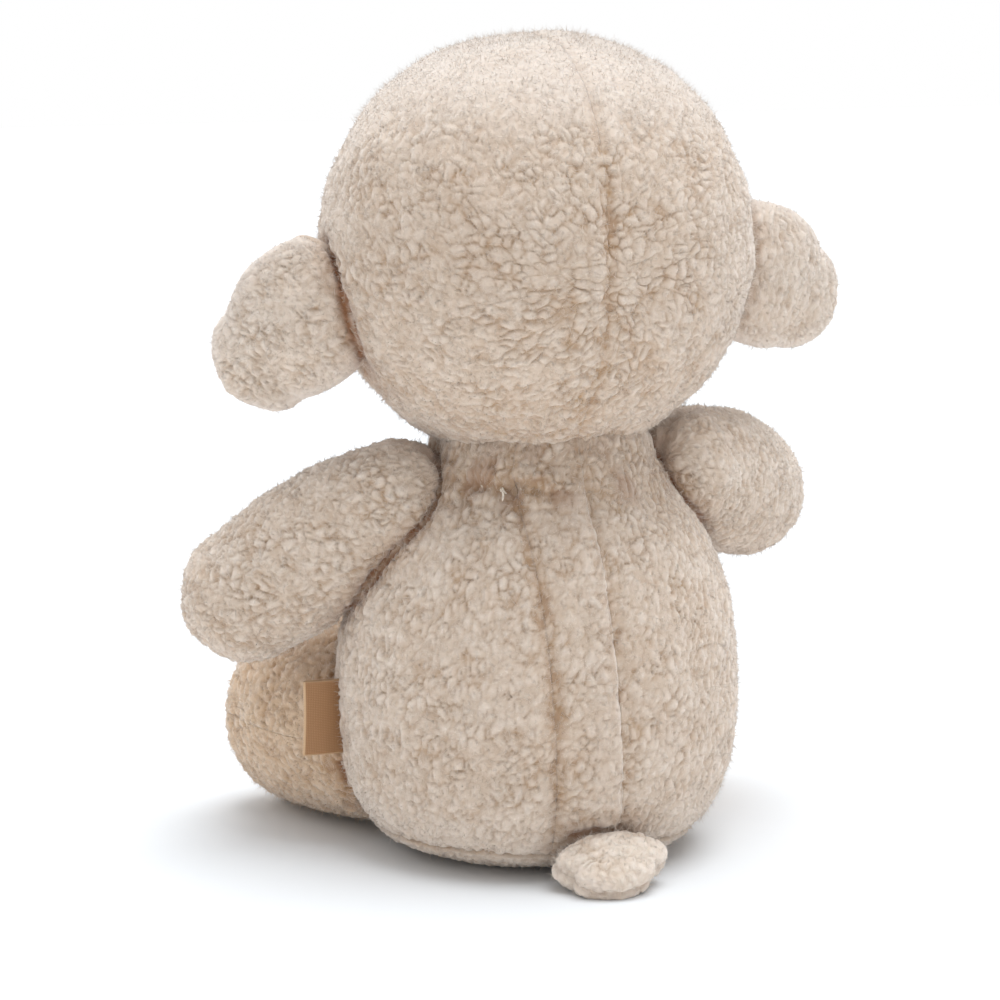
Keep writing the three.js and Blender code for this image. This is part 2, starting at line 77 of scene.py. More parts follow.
# Limbs, ears and tail: half widths and depths at the root, the middle and the tip
EAR = dict(wide=(20, 22.5, 18), deep=(8, 9.5, 8), length=31, round=15, bend=4)
ARM = dict(wide=(18, 22, 21), deep=(18, 22, 21), length=55, round=21, bend=3)
LEG = dict(wide=(28, 31, 30), deep=(28, 30, 31), length=38.5, round=16, bend=0)
TAIL = dict(wide=(9, 18, 13), deep=(6, 8, 6.5), length=14, round=8, bend=0)
ARM_DROP = {"left": 32, "right": 13}  # degrees below level
EAR_AIM = {"left": (28, 44), "right": (14, 26)}  # degrees forward and down
TAIL_DROP = 26  # degrees below level
SOLE_INSET = 5

# Sewn details
LABEL_TALL = 22.5
LABEL_HEIGHT = 41  # of its middle
LABEL_ROOT, LABEL_FOLD = 57, 70.2  # from the middle of the seat
LABEL_CLOTH = 0.55
LABEL_APART = 0.55  # between the middles of its two layers, halved
EYE = dict(out=17, rise=6, wide=4.4, tall=4.4, high=2.6)  # degrees and millimetres
NOSE = dict(out=0, rise=-6, wide=6.2, tall=4.1, high=2.6)
MOUTH_RISE, MOUTH_OUT, MOUTH_CURL = -20, 8, 4  # degrees
LABEL_BOW = 0.9
LABEL_SWELL_SHARE = 0.5  # by which its layers part between root and fold
LABEL_SEWN = 4  # of its root, where they don't part
LABEL_EDGE = (0.2, 0.5)  # where its pale edge ends
THREAD = 0.36  # half the thickness of a satin stitch
SATIN_SUNK, SATIN_OVERLAP_SHARE = 0.3, 1.25
SATIN_CORE_SHARES = (0.9, 0.9, 0.85)  # of the mound under the stitches
STITCH_START, STITCH_STEP, STITCH_COUNT = 35, 5, 6  # of the closing thread, along the slit
STITCH_LINE = [(0.6, 1.1, -2.4), (0.2, 0.4, -1.8), (-0.2, -0.5, -1.8), (-0.6, -1.2, -2.4)]
LOOSE_END = [(23, -0.4, -1), (22.4, 0.6, 1), (21.9, -0.5, 1.6), (22.4, -2.4, 1.5)]
STITCH_RADIUS, LOOSE_RADIUS, MOUTH_RADIUS = 0.25, 0.3, 0.55
MOUTH_STITCHES = 7
MOUTH_STITCH = [(0.04, -0.35), (0.28, 0.25), (0.52, 0.42), (0.76, 0.25), (0.98, -0.35)]  # share and height

# Cloth
SPACING = 0.66  # between two points of the fleece's surface
COVER = 3.2  # depth of a panel's inner side below its outer side
STRIDE = 8  # points of the outer side to one of the inner side
FIBRE_SHARES = (0.55, 1.15)  # the shortest and the longest fibre, to the usual one
FIBRE_THICK = (0.05, 0.11)
FIBRE_SUNK = 0.3
FIBRE_UPRIGHT_SHARE = 0.5
FIBRE_PILE_SHARES, NO_PILE = [0.75, 0.75, 0.75, 1.0], [0] * 4  # at a fibre's three foot corners and its tip
FLOOR_GAP, FIBRE_GAP = 0.05, 0.02  # the least height of the cloth and of its fibres
TUFT_LONG_SHARE = 1.45  # length of a tuft to its width

# Looks of the pile: the size of a tuft and its height, how far the surface sways and is drawn in along
# seams, how plain the pile is beside them, and loose fibres to a square millimetre and their length
PILE = dict(size=2.9, tall=1.5, contrast=1, flatten=(1, 1, 1), sway=1.3, seam_depth=1.6, seam_width=2.2,
            rim_flat=0, rim_width=5, paler=0, fibres=0.95, fibre_length=2.8)
TORSO_LOOK = dict(size=3.1, tall=1.7, contrast=1.15, flatten=(1, 1, 0.8), seam_depth=0.8, fibres=0.8)
BASE_LOOK = dict(tall=1.9, contrast=1.2, seam_depth=0, fibres=0.2)
BASE_SPACING = 0.7
HEAD_LOOK = dict(size=3.3, contrast=1.1, flatten=(0.85, 1, 1), seam_depth=1)
HEAD_DENSE_SHARE = 0.45  # spacing at the back of the head to that further on
ARM_LOOK = dict(size=3.1, tall=1.8, contrast=1.2, rim_flat=0.45)
LEG_LOOK = dict(size=3.5, tall=2, contrast=1.3, seam_depth=0)
EAR_LOOK = dict(size=3.3, tall=2, contrast=1.4, rim_flat=0.9, rim_width=6, paler=0.16)
TAIL_LOOK = dict(size=3.4, sway=3, rim_flat=0.35, paler=0.06)
SMOOTH_LOOK = dict(size=1.5, tall=0.28, sway=0.6, fibre_length=1.0, fibres=0.25)

UP = np.array([0.0, 0.0, 1.0])
JOINTS = {joint["name"]: joint for joint in frame["joints"]}
TINY = 1e-9


def unit(v):
    return v / np.maximum(np.linalg.norm(v, axis=-1, keepdims=True), TINY)


def pivot(name):
    return np.array(JOINTS[name]["pos_m"]) / MM


def hinge(name):
    return unit(np.array(JOINTS[name]["axis"], float))


# Noise, worked out on arrays of points

WORD = 2**32
AXIS_FACTORS = (0x9E3779B1, 0x85EBCA77, 0xC2B2AE3D)  # odd numbers that scatter whole ones over a word
SEED_FACTOR = 0x27D4EB2F
MIXING = ((15, 0x2C1B3C6D), (12, 0x297A2D39), (15, 1))  # each a shift and a factor


def mixed(cell, seed):
    """A random number from 0 to 1 for each whole-numbered cell."""
    h = np.uint32(seed * SEED_FACTOR % WORD)
    for i, factor in enumerate(AXIS_FACTORS):
        h = h ^ cell[..., i].astype(np.int64).astype(np.uint32) * np.uint32(factor)
    for shift, factor in MIXING:
        h = (h ^ (h >> np.uint32(shift))) * np.uint32(factor)
    return h.astype(np.float64) / WORD


def smooth_noise(points, size, seed):
    """Soft random values from 0 to 1 that change over a length of size."""
    p = points / size
    cell = np.floor(p)
    part = p - cell
    part = part * part * part * (part * (part * 6 - 15) + 10)
    total = np.zeros(points.shape[:-1])
    for corner in range(8):
        step = np.array([corner & 1, corner >> 1 & 1, corner >> 2 & 1])
        weight = np.prod(np.where(step, part, 1 - part), axis=-1)
        total += weight * mixed(cell + step, seed)
    return total


def wander(points, size, shares, seed):
    """The points, each moved by a smooth random amount."""
    moved = [smooth_noise(points, size * shares[0], seed + i) - 0.5 for i in range(3)]
    return points + 2 * size * shares[1] * np.stack(moved, axis=-1)


def tufts(points, size, seed):
    """How far each point is from the nearest two of scattered long tufts, in sizes."""
    p = points / size
    cell = np.floor(p)
    near = np.full(points.shape[:-1], np.inf)
    second = near.copy()
    narrow = 1 - 1 / TUFT_LONG_SHARE**2
    for i in range(27):
        there = cell + np.array([i % 3 - 1, i // 3 % 3 - 1, i // 9 - 1])
        spot = np.stack([mixed(there, seed + 7 * axis) for axis in range(3)], axis=-1)
        off = spot + there - p
        along = np.sum(off * unit(spot - 0.5), axis=-1)
        away = np.sqrt(np.maximum(np.sum(off * off, axis=-1) - narrow * along**2, 0))
        second = np.minimum(second, np.maximum(near, away))
        near = np.minimum(near, away)
    return near, second


def smoothstep(low, high, value):
    t = np.clip((value - low) / (high - low), 0, 1)
    return t * t * (3 - 2 * t)


# Forms: each gives points for an angle round it and a share of the way from its low pole to its high one

LEAST_RADIUS = 0.1
PROFILE_STEPS = 400
ROUND_STEPS = 60


class Rings:
    """Elliptical rings along the axis of a frame, evenly spaced along the form's side."""

    def __init__(self, origin, axes, profile):
        self.origin, self.axes = origin, axes
        profile = np.asarray(profile, float)
        steps = np.hypot(np.diff(profile[:, 0]), np.diff(np.maximum(profile[:, 1], profile[:, 2])))
        along = np.concatenate([[0], np.cumsum(steps)])
        self.length = along[-1]
        self.share = along / self.length
        self.profile = profile
        self.middle = self.at(np.array([0, pi]), 0.5).mean(axis=0)

    def ring(self, share):
        return [np.interp(share, self.share, self.profile[:, i]) for i in range(4)]

    def outside(self, points):
        """About how far points lie outside the form."""
        local = (points - self.origin) @ self.axes.T
        x, y, z = np.moveaxis(local, -1, 0)
        wide, deep, shift = (np.interp(z, self.profile[:, 0], self.profile[:, i]) for i in (1, 2, 3))
        wide, deep = np.maximum(wide, LEAST_RADIUS), np.maximum(deep, LEAST_RADIUS)
        beside = (np.hypot(x / wide, (y - shift) / deep) - 1) * np.minimum(wide, deep)
        beyond = np.maximum(z - self.profile[-1, 0], self.profile[0, 0] - z)
        return np.maximum(beside, beyond)

    def share_at(self, height):
        """The share of the way from the low pole to a height."""
        return float(np.interp(height, self.profile[:, 0], self.share))

    def at(self, turn, share):
        z, wide, deep, shift = self.ring(share)
        x = wide * np.cos(turn)
        y = deep * np.sin(turn) + shift
        local = np.stack([x, y, z + 0 * x], axis=-1)
        return self.origin + local @ self.axes


def spline(points, count):
    """A smooth curve through some points, as count points."""
    p = np.asarray(points, float)
    p = np.vstack([2 * p[0] - p[1], p, 2 * p[-1] - p[-2]])
    spans = len(p) - 3
    t = np.linspace(0, spans, count)
    i = np.minimum(t.astype(int), spans - 1)
    t = (t - i)[:, None]
    a, b, c, d = p[i], p[i + 1], p[i + 2], p[i + 3]
    return 0.5 * (2 * b + (c - a) * t + (2 * a - 5 * b + 4 * c - d) * t**2 + (3 * b - a - 3 * c + d) * t**3)


def torso_rings():
    neck = pivot("neck_nod")
    side = spline([(rise * SHOULDER_HEIGHT, share) for rise, share in TORSO_PROFILE_SHARES], 300)
    side[:, 0] = np.maximum.accumulate(np.maximum(side[:, 0], 0))
    profile = [(z, share * TORSO_HALF_WIDTH, share * TORSO_HALF_DEPTH, 0) for z, share in side]
    for rise in np.radians(np.linspace(NECK_START, 90, ROUND_STEPS)):
        radius = NECK_RADIUS * cos(rise)
        profile.append((neck[2] + NECK_RADIUS * sin(rise), radius, radius, 0))
    profile[0] = (0, 0, 0, 0)
    return Rings(np.zeros(3), np.eye(3), profile)


def swelling(along, sizes):
    root, middle, tip = sizes
    return (1 - along) * root + along * tip + 4 * along * (1 - along) * (middle - (root + tip) / 2)


def limb_rings(joint, out, size):
    x = hinge(joint)
    z = unit(out - x * np.dot(out, x))
    axes = np.array([x, np.cross(z, x), z])
    (root_wide, _, tip_wide), (root_deep, _, tip_deep) = size["wide"], size["deep"]
    profile = [
        (-root_deep * cos(a), root_wide * sin(a), root_deep * sin(a), 0)
        for a in np.linspace(0, pi / 2, ROUND_STEPS, endpoint=False)
    ]
    for along in np.linspace(0, 1, 80):
        wide, deep = swelling(along, size["wide"]), swelling(along, size["deep"])
        profile.append((size["length"] * along, wide, deep, size["bend"] * along**2))
    for a in np.linspace(0, pi / 2, ROUND_STEPS + 1)[1:]:
        high = size["length"] + size["round"] * sin(a)
        profile.append((high, tip_wide * cos(a), tip_deep * cos(a), size["bend"]))
    return Rings(pivot(joint), axes, profile)


class Head:
    """The round head, with its poles at the back and at the muzzle."""

    def __init__(self):
        self.origin = pivot("neck_nod") + np.array([HEAD_SIDE, -HEAD_FORWARD, HEAD_LIFT])
        self.middle = self.origin
        shares = np.linspace(0, 1, PROFILE_STEPS)
        line = self.at(np.full(PROFILE_STEPS, pi / 2), shares, even=False)
        along = np.concatenate([[0], np.cumsum(np.linalg.norm(np.diff(line, axis=0), axis=1))])
        self.length = along[-1]
        self.raw, self.even = shares, along / self.length

    def at(self, turn, share, even=True):
        if even:
            share = np.interp(share, self.even, self.raw)
        polar = pi * share
        way = np.stack(
            [np.sin(polar) * np.cos(turn), np.cos(polar) + 0 * turn, np.sin(polar) * np.sin(turn)], axis=-1
        )
        return self.origin + self.out(way)

    def out(self, way):
        """Where a ray from the centre meets the head."""
        flat = np.hypot(way[..., 0] / HEAD_HALF_WIDTH, way[..., 1] / HEAD_HALF_DEPTH)
        tall = np.abs(way[..., 2]) / HEAD_HALF_HEIGHT
        power = 2 / np.where(way[..., 2] > 0, TOP_FULL_SHARE, BOTTOM_FULL_SHARE)
        low, high = np.zeros(flat.shape), np.full(flat.shape, 90.0)
        for _ in range(30):
            middle = (low + high) / 2
            outside = (middle * flat) ** power + (middle * tall) ** 2 > 1
            high = np.where(outside, middle, high)
            low = np.where(outside, low, middle)
        point = way * low[..., None]
        dip = radians(MUZZLE_DIP)
        snout = np.array([0, -cos(dip), -sin(dip)])
        away = np.degrees(np.arccos(np.clip(way @ snout, -1, 1)))
        return point + snout * (MUZZLE_RISE * np.exp(-((away / MUZZLE_SPREAD) ** 2)))[..., None]

    def outside(self, points):
        """How far points lie outside the form."""
        local = points - self.origin
        away = np.linalg.norm(local, axis=-1)
        skin = self.out(local / np.maximum(away, 1)[..., None])
        return away - np.linalg.norm(skin, axis=-1)

    def share_at_depth(self, depth):
        """The share of the way from the back to a place along y."""
        shares = np.linspace(0, 1, PROFILE_STEPS)
        line = self.at(np.zeros(PROFILE_STEPS), shares)
        return float(np.interp(-depth, -line[:, 1], shares))


# Panels

FULL_TURN = 6.28  # a little less than all of it
PROBE = 60  # points along each side of a first rough grid
POLE = 1e-3  # a row of points closer together than this is one point
DENSE_END_SHARE = 0.3


def normals_of(points, around):
    """The outward normals of a grid of points."""
    ahead = np.gradient(points, axis=0)
    if around:
        wrapped = np.concatenate([points[:, -2:-1], points, points[:, 1:2]], axis=1)
        across = (wrapped[:, 2:] - wrapped[:, :-2]) / 2
    else:
        across = np.gradient(points, axis=1)
    normal = np.cross(across, ahead)
    for end, beside in ((0, 2), (-1, -3)):
        if np.ptp(points[end], axis=0).max() < POLE:
            normal[end] = normal[beside].mean(axis=0)
    return unit(normal)


class Panel:
    """A grid of points between two angles and two shares of a form."""

    def __init__(self, form, turns, shares, spacing=SPACING, dense=1.0):
        self.around = not any(callable(side) for side in turns) and abs(turns[1] - turns[0]) > FULL_TURN
        rows = round(form.length * abs(shares[1] - shares[0]) / spacing)
        probe = self.grid(form, turns, shares, PROBE, PROBE)
        if np.sum(normals_of(probe, self.around) * (probe - form.middle)) < 0:
            turns, probe = turns[::-1], probe[:, ::-1]
        widest = np.linalg.norm(np.diff(probe, axis=1), axis=2).sum(axis=1).max()
        cols = round(widest / spacing)
        self.base = self.grid(form, turns, shares, rows + 1, cols + 1, dense)
        self.normal = normals_of(self.base, self.around)
        self.low_pole, self.high_pole = (np.ptp(self.base[end], axis=0).max() < POLE for end in (0, -1))
        self.edge = self.edge_distance()

    @staticmethod
    def grid(form, turns, shares, rows, cols, dense=1.0):
        """Points between two sides, each an angle or a function that gives one for a share of the way."""
        step = dense + (1 - dense) * smoothstep(0, DENSE_END_SHARE, np.linspace(0, 1, rows - 1))
        along = np.concatenate([[0], np.cumsum(step)]) / np.sum(step)
        share = (shares[0] + (shares[1] - shares[0]) * along)[:, None]
        low, high = (side(share) if callable(side) else side + 0 * share for side in turns)
        turn = low + (high - low) * np.linspace(0, 1, cols)[None, :]
        return form.at(turn, share + 0 * turn)

    def edge_distance(self):
        """How far each point is from the nearest sewn edge."""
        base = self.base
        edges = [] if self.around else [base[:, :1], base[:, -1:]]
        edges += [] if self.low_pole else [base[:1]]
        edges += [] if self.high_pole else [base[-1:]]
        return np.min([np.linalg.norm(base - edge, axis=2) for edge in edges], axis=0)


def grid_ids(rows, cols, panel, start):
    """The number of each point of a grid, with a pole's row and a closed grid's last column shared."""
    ids = np.arange(rows * cols).reshape(rows, cols)
    if panel.around:
        ids[:, -1] = ids[:, 0]
    if panel.low_pole:
        ids[0] = ids[0, 0]
    if panel.high_pole:
        ids[-1] = ids[-1, 0]
    return ids + start


def strided(count):
    picks = list(range(0, count - 1, STRIDE))
    if count - 1 - picks[-1] < STRIDE / 2 and len(picks) > 1:
        picks.pop()
    return np.array(picks + [count - 1])


# A grid's two sides and two ends, and which of their faces are turned round
EDGES = ((np.s_[:, 0], False), (np.s_[:, -1], True), (0, True), (-1, False))


def rim_faces(outer, inner, picks, flip):
    """The faces along one edge, from the fine outer side to the coarse inner one."""
    spans = zip(picks[:-1], picks[1:], inner[:-1], inner[1:])
    faces = [[*outer[first: last + 1], there, here] for first, last, here, there in spans]
    return [face[::-1] for face in faces] if flip else faces


def quads_of(ids, flip):
    quads = np.stack([ids[:-1, :-1], ids[:-1, 1:], ids[1:, 1:], ids[1:, :-1]], axis=-1).reshape(-1, 4)
    return quads[:, ::-1] if flip else quads


def closed_panel(panel, outer):
    """A thin closed body: the shaped outer side, a plain inner side and the rims."""
    rows, cols = outer.shape[:2]
    inside = panel.base - panel.normal * COVER
    row_picks, col_picks = strided(rows), strided(cols)
    inner = inside[row_picks][:, col_picks]
    outer_ids = grid_ids(rows, cols, panel, 0)
    inner_ids = grid_ids(len(row_picks), len(col_picks), panel, rows * cols)
    faces = [quads_of(outer_ids, False), quads_of(inner_ids, True)]
    shut = (panel.around, panel.around, panel.low_pole, panel.high_pole)
    picks = (row_picks, row_picks, col_picks, col_picks)
    rims = []
    for (edge, flip), no_edge, picked in zip(EDGES, shut, picks):
        if not no_edge:
            rims += rim_faces(outer_ids[edge], inner_ids[edge], picked, flip)
    points = np.vstack([outer.reshape(-1, 3), inner.reshape(-1, 3)])
    return points, np.vstack(faces), rims


def fuzz(points, normals, areas, count, length, seed):
    """Short loose fibres that stand from a surface: thin closed spikes."""
    random = np.random.default_rng(seed)
    picks = np.searchsorted(np.cumsum(areas) / np.sum(areas), random.uniform(size=count))
    root, out = points[picks], normals[picks]
    lean = unit(random.normal(size=(count, 3)))
    way = unit(out * FIBRE_UPRIGHT_SHARE + lean)
    side = unit(np.cross(way, random.normal(size=(count, 3))))
    other = np.cross(way, side)
    long = length * random.uniform(*FIBRE_SHARES, (count, 1))
    thick = random.uniform(*FIBRE_THICK, (count, 1))
    foot = root - out * FIBRE_SUNK
    thirds = np.linspace(0, 2 * pi, 3, endpoint=False)
    corners = [foot + thick * (side * cos(a) + other * sin(a)) for a in thirds]
    spikes = np.stack([*corners, foot + way * long], axis=1).reshape(-1, 3)
    first = np.arange(count)[:, None] * 4
    faces = np.concatenate([first + np.array(f) for f in ((0, 1, 3), (1, 2, 3), (2, 0, 3), (2, 1, 0))])
    return spikes, faces


def mesh_from(name, points, quads, rims, triangles, values):
    """A mesh of four-sided faces, rims and triangles, with named values on its points."""
    pinched = (quads[:, [1, 2, 3, 0]] == quads).any(axis=1)
    whole = quads[~pinched]
    extra = [list(dict.fromkeys(face)) for face in quads[pinched].tolist() + rims]
    extra = [face for face in extra if len(face) > 2]
    counts = [4] * len(whole) + [3] * len(triangles) + [len(face) for face in extra]
    loops = np.concatenate([whole.ravel(), triangles.ravel(), *extra]).astype(int)
    used, loops = np.unique(loops, return_inverse=True)
    mesh = bpy.data.meshes.new(name)
    mesh.vertices.add(len(used))
    mesh.vertices.foreach_set("co", (points[used] * MM).astype(np.float32).ravel())
    mesh.loops.add(len(loops))
    mesh.loops.foreach_set("vertex_index", loops.astype(np.int32).ravel())
    mesh.polygons.add(len(counts))
    mesh.polygons.foreach_set("loop_start", np.cumsum([0, *counts[:-1]]).astype(np.int32))
    mesh.update(calc_edges=True)
    mesh.validate()
    mesh.shade_smooth()
    for key, data in values.items():
        layer = mesh.attributes.new(key, "FLOAT", "POINT")
        layer.data.foreach_set("value", data[used].astype(np.float32))
    return mesh


def placed(name, data):
    """A new object in the scene."""
    thing = bpy.data.objects.new(name, data)
    bpy.context.scene.collection.objects.link(thing)
    return thing


def piece(name, mesh, material, body, node):
    thing = placed(name, mesh)
    thing.data.materials.append(material)
    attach(thing, body)
    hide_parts(node)
    return thing


# Pile

# In shares of a tuft's size
BEND_SHARES = (1.2, 0.55)  # how far apart the tufts' outlines bend, and by how much
CURL_SHARES = (0.75, 0.62)
CREVICE_SHARE = 0.6  # from the middle of a crevice to the level of the tuft
STREAK_SHARE = 0.4
BREAK_SHARE = 1.7
CREVICE_POWER = 0.7
BREAKS = (0.35, 0.7)  # between which noise fills a crevice or leaves it
FAINT_CREVICE = 0.6  # depth of a filled crevice
PILLOW_PART, STREAK_PART = 0.62, 0.32
LEVEL = 0.55  # of the bumps where the pile neither rises nor falls
DRIFT_SIZE, DIP_SIZE, RIM_SIZE = 11, 5, 6  # lengths over which sway, seams and rims change
DIP_SHADE, DRIFT_LIGHT = 0.28, 0.08  # painted shade: how much darker the pile is painted in a seam; painted light: how much lighter on a rise
BARE_SEAM = 0.6  # from a seam or the floor to the first fibres
BARE_SHADE_BROWN = 0.35  # where the painted brown fold shade is deep enough that the pile grows no fibres


def curls(points, size, seed, flatten):
    """How high the curly pile stands, from 0 in a crevice to 1 on a curl."""
    bent = wander(points * np.array(flatten), size, BEND_SHARES, seed)
    near, second = tufts(bent, size, seed + 3)
    pillow = np.sin(np.clip((second - near) / CREVICE_SHARE, 0, 1) * pi / 2) ** CREVICE_POWER
    broken = smoothstep(*BREAKS, smooth_noise(points, size * BREAK_SHARE, seed + 13))
    pillow = 1 - (FAINT_CREVICE + (1 - FAINT_CREVICE) * broken) * (1 - pillow)
    curly = wander(points, size, CURL_SHARES, seed + 9)
    streak = smooth_noise(curly, size * STREAK_SHARE, seed + 5)
    return np.clip(PILLOW_PART * pillow + STREAK_PART * streak, 0, 1)


def hump(away, width):
    """A soft bump from 1 in the middle to 0, over about a width to each side."""
    return np.exp(-((away / width) ** 2))


def plain_shape(base):
    """No lift of the surface, no flattened pile, no painted shade or light in its tone and no painted brown
    shade.
    """
    return {key: np.zeros(base.shape[:2]) for key in ("lift", "flat", "tone", "brown_shade")}


def fleece_panel(node, panel, body, material, slot="fleece", name=None, shape=plain_shape, seed=1, **look):
    """A panel of curly pile over a form, drawn in along its seams, with loose fibres."""
    look = {**PILE, **look}
    base, spot = panel.base, shape(panel.base)
    bumps = curls(base, look["size"], seed, look["flatten"])
    drift = smooth_noise(base, DRIFT_SIZE, seed + 20) - 0.5
    dip = look["seam_depth"] * hump(panel.edge, look["seam_width"])
    dip = dip * (0.75 + 0.5 * smooth_noise(base, DIP_SIZE, seed + 30))
    rim = look["rim_flat"] * hump(panel.edge, look["rim_width"])
    flat = np.maximum(spot["flat"], rim * (0.7 + 0.6 * smooth_noise(base, RIM_SIZE, seed + 40)))
    height = look["tall"] * (bumps - LEVEL) * (1 - flat) + look["sway"] * drift - dip + spot["lift"]
    outer = base + panel.normal * height[..., None]
    outer[..., 2] = np.maximum(outer[..., 2], FLOOR_GAP)
    points, quads, rims = closed_panel(panel, outer)
    pile = LEVEL + (bumps * (1 - flat) + 0.5 * flat - LEVEL) * look["contrast"]
    # painted shade and light: the pile is painted darker in seams and where the shape's tone is above zero,
    # and lighter on rises and where it is below zero
    pile = np.clip(pile - DIP_SHADE * dip + DRIFT_LIGHT * drift - spot["tone"] + look["paler"], 0, 1)
    roots = (panel.edge > BARE_SEAM) & (outer[..., 2] > BARE_SEAM) & (spot["brown_shade"] < BARE_SHADE_BROWN)
    areas = np.linalg.norm(np.cross(*np.gradient(base, axis=(0, 1))), axis=2)[roots]
    count = int(areas.sum() * look["fibres"])
    surface = normals_of(outer, panel.around)
    spikes, faces = fuzz(outer[roots], surface[roots], areas, count, look["fibre_length"], seed + 50)
    first, hidden = len(points), np.zeros(len(points) - flat.size)
    fields = {"pile": (pile, FIBRE_PILE_SHARES), "nap": (flat, NO_PILE), "brown_shade": (spot["brown_shade"], NO_PILE)}
    values = {
        key: np.concatenate([np.clip(field, 0, 1).ravel(), hidden, np.tile(fibre, count)])
        for key, (field, fibre) in fields.items()
    }
    points = np.vstack([points, spikes])
    points[:, 2] = np.maximum(points[:, 2], FIBRE_GAP)
    name = name or f"{node}_fleece"
    mesh = mesh_from(name, points, quads, rims, faces + first, values)
    piece(name, mesh, material, body, node)


# Materials

def nodes_of(name):
    material = bpy.data.materials.new(name)
    material.use_nodes = True
    tree = material.node_tree
    shader = tree.nodes["Principled BSDF"]
    return material, tree, shader


def add(tree, kind, **settings):
    node = tree.nodes.new(f"ShaderNode{kind}")
    for key, value in settings.items():
        setattr(node, key, value)
    return node


def fill(node, **values):
    """Links or values for a node's inputs, by their names with a line for each space."""
    for key, value in values.items():
        socket = node.inputs[key.replace("_", " ")]
        if isinstance(value, bpy.types.NodeSocket):
            node.id_data.links.new(value, socket)
        else:
            socket.default_value = (*value, 1) if socket.type == "RGBA" else value


def ramp(tree, source, stops):
    node = add(tree, "ValToRGB")
    for element, (place, colour) in zip(node.color_ramp.elements, stops):
        element.position = place
        element.color = (*colour, 1)
    fill(node, Fac=source)
    return node.outputs["Color"]


def noise(tree, size, swirl=0, **settings):
    """Noise that changes over a length of size millimetres."""
    place = add(tree, "TexCoord").outputs["Object"]
    node = add(tree, "TexNoise", **settings)
    fill(node, Vector=place, Scale=1 / (size * MM), Distortion=swirl)
    return node.outputs["Fac"]


def value_of(tree, name):
    """A named value of a mesh's points."""
    return add(tree, "Attribute", attribute_name=name).outputs["Fac"]


def mixed_colour(tree, share, first, second, blend="MIX"):
    node = add(tree, "Mix", data_type="RGBA", blend_type=blend)
    fill(node, Factor=share, A=first, B=second)
    return next(out for out in node.outputs if out.type == "RGBA")


def bump(tree, shader, height, depth):
    node = add(tree, "Bump")
    fill(node, Distance=depth * MM, Height=height)
    fill(shader, Normal=node.outputs["Normal"])


def linear(red, green, blue):
    """A colour as it is seen on a screen, from 0 to 255, in linear light."""
    return tuple((c / 255) ** 2.2 for c in (red, green, blue))


# Each pile's crevices and ochre crevices, painted shade in the deep pile, sides and tips of its tufts, and
# flattened pile
PALETTES = {
    "fleece": [(192, 166, 142), (186, 154, 118), (218, 202, 187), (238, 228, 219), (226, 217, 210)],
    "pale_fleece": [(204, 184, 164), (194, 166, 134), (232, 219, 206), (248, 241, 234), (240, 232, 226)],
    # the legs' fleece, painted warmer for the warm bounced light and shade on them
    "bounce_warmed_fleece": [(192, 158, 124), (182, 144, 104), (226, 200, 172), (240, 219, 197), (236, 222, 206)],
    "smooth_plush": [(212, 196, 180), (206, 188, 168), (230, 216, 204), (241, 231, 221), (240, 231, 223)],
}
WHITE_PILE = linear(255, 255, 255)
FOLD_SHADE_BROWN = linear(134, 92, 62)  # painted shade: brown painted on the pile in the folds at the roots of the limbs, in the slit and under the head
STRAND_GREY, BLOTCH_GREY = linear(238, 234, 229), linear(251, 248, 245)
STRAND_SIZE, STRAND_SWIRL = 1.1, 1.6
STRAND_BUMP_SIZE, STRAND_BUMP = 0.9, 0.3
OCHRE_SIZE, BLOTCH_SIZE = 5, 16
PILE_SHINE = dict(
    Roughness=0.95, Specular_IOR_Level=0.1, Sheen_Weight=1.0, Sheen_Roughness=0.5,
    Sheen_Tint=linear(255, 250, 246), Subsurface_Weight=0.12, Subsurface_Radius=(1.0, 0.75, 0.55),
    Subsurface_Scale=1.6 * MM,
)


def strands(tree, size):
    """Fine curling fibres, as ridges of a swirled noise."""
    return noise(tree, size, STRAND_SWIRL, noise_type="RIDGED_MULTIFRACTAL")


def pile_colour(tree, name):
    """Colour by depth in the pile, with painted shade in its crevices, ochre in places, fine strands, large
    pale blotches and painted brown shade in folds.
    """
    crevice, ochre, middle, tip, flattened = (linear(*colour) for colour in PALETTES[name])
    pile, nap, brown_shade = (value_of(tree, key) for key in ("pile", "nap", "brown_shade"))
    black, white = (0, 0, 0), (1, 1, 1)
    spots = ramp(tree, noise(tree, OCHRE_SIZE), [(0.54, black), (0.72, white)])
    deep = mixed_colour(tree, spots, crevice, ochre)
    # painted shade: the lower the pile, the more of the crevice colour it takes
    low = ramp(tree, pile, [(0.0, black), (0.42, white)])
    base = mixed_colour(tree, low, deep, ramp(tree, pile, [(0.4, middle), (0.9, tip)]))
    fibre = ramp(tree, strands(tree, STRAND_SIZE), [(0.15, STRAND_GREY), (0.75, WHITE_PILE)])
    base = mixed_colour(tree, 1.0, base, fibre, "MULTIPLY")
    blotch = ramp(tree, noise(tree, BLOTCH_SIZE), [(0.3, BLOTCH_GREY), (0.7, WHITE_PILE)])
    base = mixed_colour(tree, 1.0, base, blotch, "MULTIPLY")
    base = mixed_colour(tree, nap, base, flattened)
    # painted brown shade in the folds, the slit and under the head
    return mixed_colour(tree, brown_shade, base, FOLD_SHADE_BROWN)


def plush_material(name):
    material, tree, shader = nodes_of(name)
    fill(shader, Base_Color=pile_colour(tree, name), **PILE_SHINE)
    bump(tree, shader, strands(tree, STRAND_BUMP_SIZE), STRAND_BUMP)
    return material


